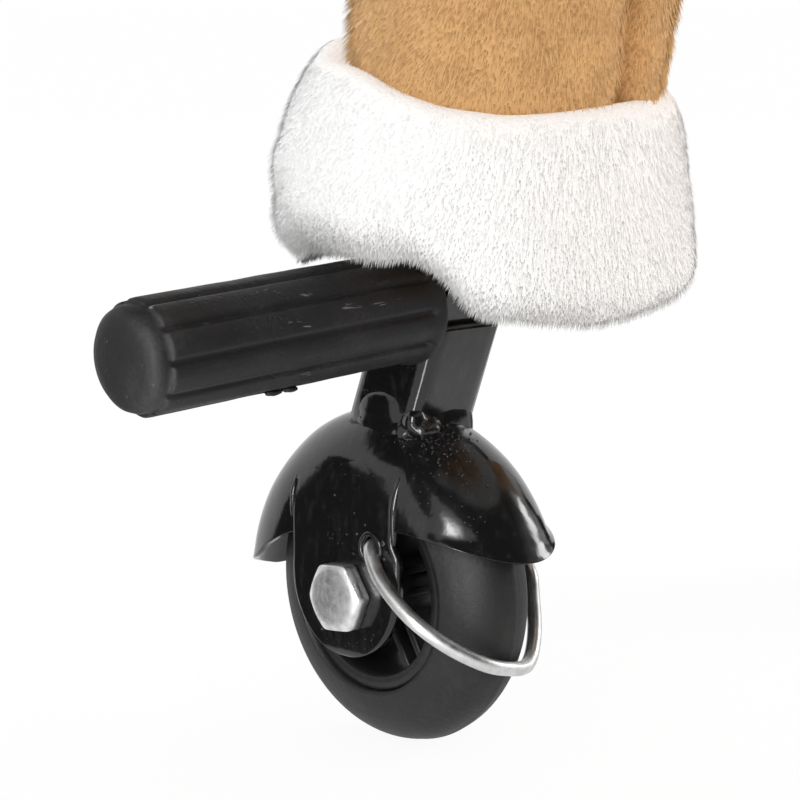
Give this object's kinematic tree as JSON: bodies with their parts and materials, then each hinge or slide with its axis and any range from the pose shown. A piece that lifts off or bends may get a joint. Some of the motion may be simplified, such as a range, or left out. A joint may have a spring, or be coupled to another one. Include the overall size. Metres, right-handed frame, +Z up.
{
  "type": "ride-on horse",
  "caption": "Plush ride-on horse on small fork-mounted wheels. Sprung leg frames splay and return as the rider bounces; the neck steers with a handlebar and foot pegs stick out.",
  "frame": {"origin": "on the floor, under the middle of the horse's length and width", "axes": "+Z up, -Y the way the horse faces, +X to the horse's left"},
  "size_m": [0.484, 0.7246, 0.9468],
  "materials": {
    "tan_plush": "short pile plush",
    "white_plush": "short pile plush",
    "mane": "long pile plush",
    "saddle": "satin synthetic leather",
    "black_steel": "glossy black powder coat",
    "zinc": "bright zinc plating",
    "spring_steel": "plain spring steel",
    "tyre": "matte black rubber",
    "hub": "black moulded plastic",
    "rubber": "matte black rubber",
    "eye": "gloss"
  },
  "bodies": {
    "trunk": {"main_beam": "black_steel", "seat_plate": "black_steel", "barrel_plush": "tan_plush", "saddle": "saddle", "girth": "saddle", "tail": "mane", "rear_spring": "spring_steel"},
    "front_end": {"steering_stem": "black_steel", "steering_collar": "zinc", "handlebar": "black_steel", "left_hand_grip": "rubber", "right_hand_grip": "rubber", "chest_plush": "tan_plush", "neck_plush": "tan_plush", "head_plush": "tan_plush", "left_eye": "eye", "right_eye": "eye", "left_ear": "tan_plush", "right_ear": "tan_plush", "mane": "mane", "bridle": "saddle", "front_spring": "spring_steel"},
    "front_legs": {"front_leg_frame": "black_steel", "front_left_fork": "black_steel", "front_left_axle_bolt": "zinc", "front_left_axle_nut": "zinc", "front_left_leg_plush": "tan_plush", "front_left_sock": "white_plush", "front_left_foot_peg": "rubber", "front_right_fork": "black_steel", "front_right_axle_bolt": "zinc", "front_right_axle_nut": "zinc", "front_right_leg_plush": "tan_plush", "front_right_sock": "white_plush", "front_right_foot_peg": "rubber"},
    "rear_legs": {"rear_leg_frame": "black_steel", "rear_left_fork": "black_steel", "rear_left_axle_bolt": "zinc", "rear_left_axle_nut": "zinc", "rear_left_leg_plush": "tan_plush", "rear_left_sock": "white_plush", "rear_right_fork": "black_steel", "rear_right_axle_bolt": "zinc", "rear_right_axle_nut": "zinc", "rear_right_leg_plush": "tan_plush", "rear_right_sock": "white_plush"},
    "front_left_wheel": {"front_left_tyre": "tyre", "front_left_hub": "hub"},
    "front_left_hoop": {"front_left_brake_hoop": "zinc"},
    "front_right_wheel": {"front_right_tyre": "tyre", "front_right_hub": "hub"},
    "front_right_hoop": {"front_right_brake_hoop": "zinc"},
    "rear_left_wheel": {"rear_left_tyre": "tyre", "rear_left_hub": "hub"},
    "rear_left_hoop": {"rear_left_brake_hoop": "zinc"},
    "rear_right_wheel": {"rear_right_tyre": "tyre", "rear_right_hub": "hub"},
    "rear_right_hoop": {"rear_right_brake_hoop": "zinc"}
  },
  "joints": [
    {"name": "steering", "type": "hinge", "parent": "trunk", "child": "front_end", "pos_m": [0, -0.13809, 0.556], "axis": [0, 0, 1], "range_deg": [-20, 20]},
    {"name": "front_leg_swing", "type": "hinge", "parent": "front_end", "child": "front_legs", "pos_m": [0, -0.13809, 0.43], "axis": [-1, 0, 0], "range_deg": [0, 14], "stiffness_Nm_per_rad": 70, "springref_deg": -8.59, "deforming": ["front_spring"]},
    {"name": "rear_leg_swing", "type": "hinge", "parent": "trunk", "child": "rear_legs", "pos_m": [0, 0.15729, 0.43], "axis": [1, 0, 0], "range_deg": [0, 14], "stiffness_Nm_per_rad": 70, "springref_deg": -8.59, "deforming": ["rear_spring"]},
    {"name": "front_left_wheel_spin", "type": "hinge", "parent": "front_legs", "child": "front_left_wheel", "pos_m": [0.132, -0.2704, 0.04467], "axis": [1, 0, 0], "continuous": true},
    {"name": "front_left_hoop_swing", "type": "hinge", "parent": "front_legs", "child": "front_left_hoop", "pos_m": [0.132, -0.2597, 0.05987], "axis": [1, 0, 0], "range_deg": [0, 25]},
    {"name": "front_right_wheel_spin", "type": "hinge", "parent": "front_legs", "child": "front_right_wheel", "pos_m": [-0.132, -0.2704, 0.04467], "axis": [1, 0, 0], "continuous": true},
    {"name": "front_right_hoop_swing", "type": "hinge", "parent": "front_legs", "child": "front_right_hoop", "pos_m": [-0.132, -0.2597, 0.05987], "axis": [1, 0, 0], "range_deg": [0, 25]},
    {"name": "rear_left_wheel_spin", "type": "hinge", "parent": "rear_legs", "child": "rear_left_wheel", "pos_m": [0.132, 0.2896, 0.04467], "axis": [1, 0, 0], "continuous": true},
    {"name": "rear_left_hoop_swing", "type": "hinge", "parent": "rear_legs", "child": "rear_left_hoop", "pos_m": [0.132, 0.3003, 0.05987], "axis": [1, 0, 0], "range_deg": [0, 25]},
    {"name": "rear_right_wheel_spin", "type": "hinge", "parent": "rear_legs", "child": "rear_right_wheel", "pos_m": [-0.132, 0.2896, 0.04467], "axis": [1, 0, 0], "continuous": true},
    {"name": "rear_right_hoop_swing", "type": "hinge", "parent": "rear_legs", "child": "rear_right_hoop", "pos_m": [-0.132, 0.3003, 0.05987], "axis": [1, 0, 0], "range_deg": [0, 25]}
  ]
}
